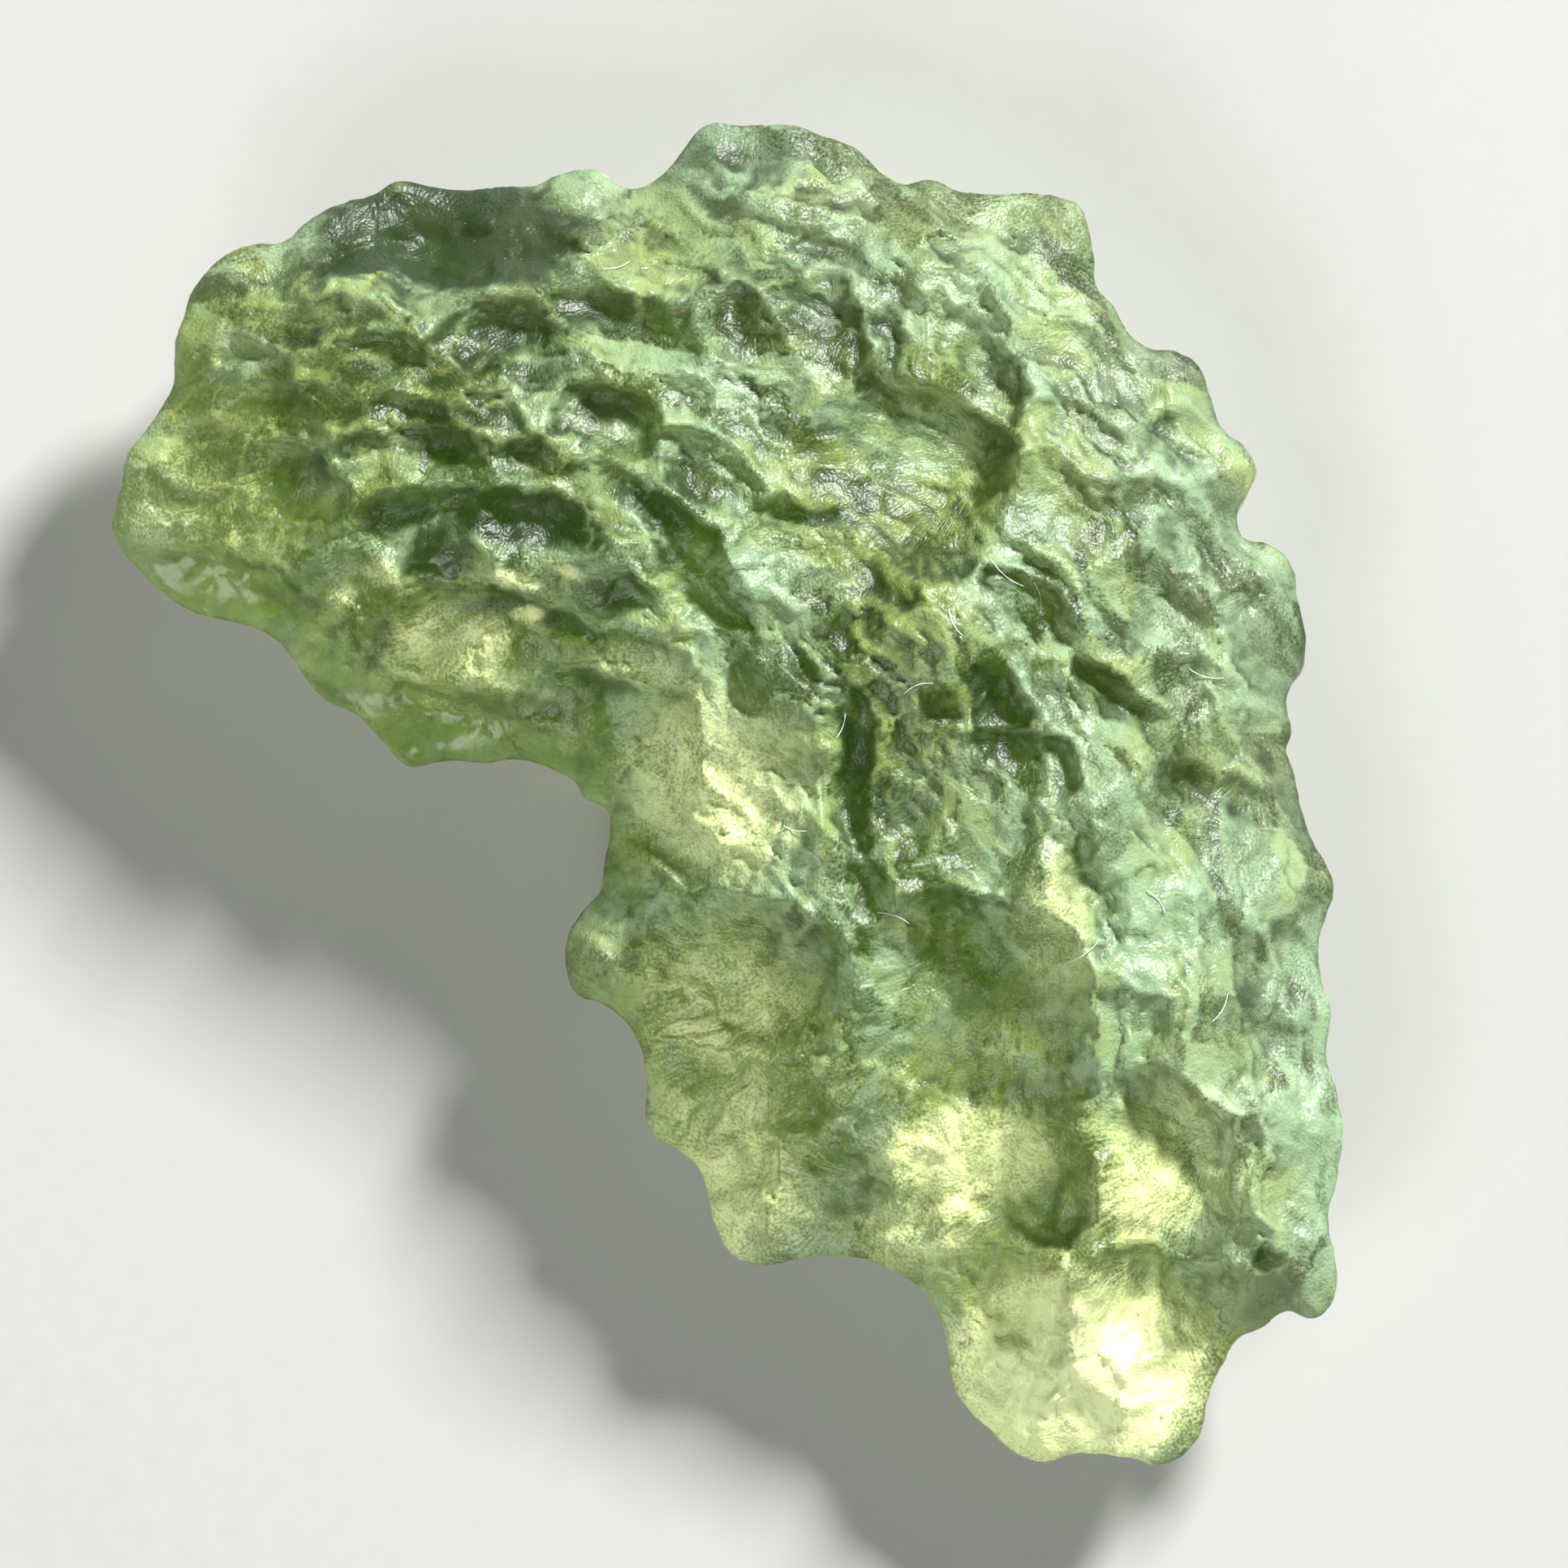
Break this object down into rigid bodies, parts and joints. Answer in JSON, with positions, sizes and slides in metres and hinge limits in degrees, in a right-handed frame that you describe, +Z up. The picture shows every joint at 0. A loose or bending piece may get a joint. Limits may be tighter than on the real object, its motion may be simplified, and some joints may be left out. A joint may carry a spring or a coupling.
{
  "type": "moldavite",
  "caption": "Flat crescent-shaped piece of green natural glass with a scalloped rim, a thin tongue at one end and deep etch scars, resting on its back.",
  "frame": {"origin": "under the middle of the stone's box, on the surface that it rests on", "axes": "+Z up out of the sculpted broad face, +Y from the tongue to the wide end, +X towards the long scalloped rim"},
  "size_m": [0.0242, 0.0264, 0.0078],
  "materials": {
    "moldavite_glass": "translucent bottle-green to olive glass with a finely etched, frosted skin and a few smooth chips at the rim"
  },
  "bodies": {
    "root": {"moldavite": "moldavite_glass"}
  },
  "joints": []
}
